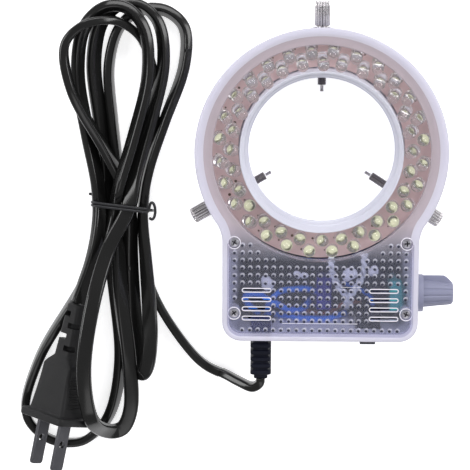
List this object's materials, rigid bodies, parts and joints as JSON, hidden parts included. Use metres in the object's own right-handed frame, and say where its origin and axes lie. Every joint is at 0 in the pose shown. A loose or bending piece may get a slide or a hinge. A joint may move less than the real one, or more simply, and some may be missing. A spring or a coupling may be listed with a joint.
{
  "type": "microscope ring light",
  "caption": "Ring light for a stereo microscope: lamps round a bore with thumb screws, a control box with a dimmer knob and a rocker switch, and a tied mains cord with a plug.",
  "frame": {"origin": "on the surface under the back, below the middle of the light's own outline, with the mains cord left out", "axes": "+Z out of the lamps, +Y from the control box to the ring, +X across the control box to the dimmer knob"},
  "size_m": [0.1852, 0.1981, 0.0314],
  "materials": {
    "housing_plastic": "smooth white moulding",
    "cover_plastic": "smooth, slightly see-through white moulding",
    "board_laminate": "solder mask",
    "lamp_clear": "clear resin over yellow phosphor",
    "nickel": "nickel plate",
    "brass": "machined",
    "screw_steel": "zinc plate",
    "knob_plastic": "satin moulding",
    "teal_case": "moulded case",
    "switch_plastic": "smooth moulding",
    "gland_rubber": "moulded",
    "driver_laminate": "bare laminate",
    "indigo_epoxy": "dipped epoxy",
    "black_sleeve": "plain sleeve or package",
    "blue_wire": "wire insulation",
    "brown_wire": "wire insulation",
    "white_wire": "wire insulation",
    "cord_vinyl": "glossy soft vinyl",
    "plug_vinyl": "fine-grained vinyl"
  },
  "bodies": {
    "light": {"front_cover": "cover_plastic", "back_shell": "housing_plastic", "cover_screw_1": "screw_steel", "cover_screw_2": "screw_steel", "cover_screw_3": "screw_steel", "cover_screw_4": "screw_steel", "screw_insert_top": "brass", "screw_insert_left": "brass", "screw_insert_right": "brass", "led_board": "board_laminate", "leds_inner_row": "lamp_clear", "leds_outer_row": "lamp_clear", "potentiometer": "teal_case", "dimmer_nut": "nickel", "switch_body": "switch_plastic", "cord_gland": "gland_rubber", "driver_board": "driver_laminate", "film_capacitor": "indigo_epoxy", "driver_chip": "black_sleeve", "electrolytic_capacitor": "black_sleeve", "led_wire_left": "white_wire", "led_wire_right": "white_wire", "mains_wire_blue": "blue_wire", "mains_wire_brown": "brown_wire", "switch_wire_blue": "blue_wire", "cord_hank": "cord_vinyl", "cord_lead": "cord_vinyl", "cord_tail": "cord_vinyl", "twist_tie": "cord_vinyl", "plug_body": "plug_vinyl", "plug_blade_1": "nickel", "plug_blade_2": "nickel"},
    "tip_top": {"screw_tip_top": "nickel"},
    "tip_left": {"screw_tip_left": "nickel"},
    "tip_right": {"screw_tip_right": "nickel"},
    "screw_top": {"thumb_screw_top": "nickel"},
    "screw_left": {"thumb_screw_left": "nickel"},
    "screw_right": {"thumb_screw_right": "nickel"},
    "dimmer": {"dimmer_knob": "knob_plastic", "dimmer_shaft": "nickel"},
    "rocker": {"switch_rocker": "switch_plastic"}
  },
  "joints": [
    {"name": "screw_top_feed", "type": "slide", "parent": "light", "child": "tip_top", "axis": [0, 1, 0], "range_m": [-0.0004, 0.0124]},
    {"name": "screw_top_turn", "type": "hinge", "parent": "tip_top", "child": "screw_top", "pos_m": [-0.00039, 0.0199, 0.006], "axis": [0, 1, 0], "range_deg": [-206, 6378]},
    {"name": "screw_left_feed", "type": "slide", "parent": "light", "child": "tip_left", "axis": [-0.8616, -0.5075, 0], "range_m": [-0.0026, 0.0102]},
    {"name": "screw_left_turn", "type": "hinge", "parent": "tip_left", "child": "screw_left", "pos_m": [-0.00039, 0.0199, 0.006], "axis": [-0.8616, -0.5075, 0], "range_deg": [-1338, 5247]},
    {"name": "screw_right_feed", "type": "slide", "parent": "light", "child": "tip_right", "axis": [0.8387, -0.5446, 0], "range_m": [-0.0004, 0.0124]},
    {"name": "screw_right_turn", "type": "hinge", "parent": "tip_right", "child": "screw_right", "pos_m": [-0.00039, 0.0199, 0.006], "axis": [0.8387, -0.5446, 0], "range_deg": [-206, 6378]},
    {"name": "dimmer_turn", "type": "hinge", "parent": "light", "child": "dimmer", "pos_m": [0.04, -0.0424, 0.0145], "axis": [1, 0, 0], "range_deg": [-150, 130]},
    {"name": "rocker_press", "type": "hinge", "parent": "light", "child": "rocker", "pos_m": [0.01991, -0.0599, 0.0145], "axis": [1, 0, 0], "range_deg": [-28, 0]}
  ],
  "couplings": [
    {"joint": "screw_top_turn", "follows": "screw_top_feed", "rad_per_m": 8976},
    {"joint": "screw_left_turn", "follows": "screw_left_feed", "rad_per_m": 8976},
    {"joint": "screw_right_turn", "follows": "screw_right_feed", "rad_per_m": 8976}
  ]
}
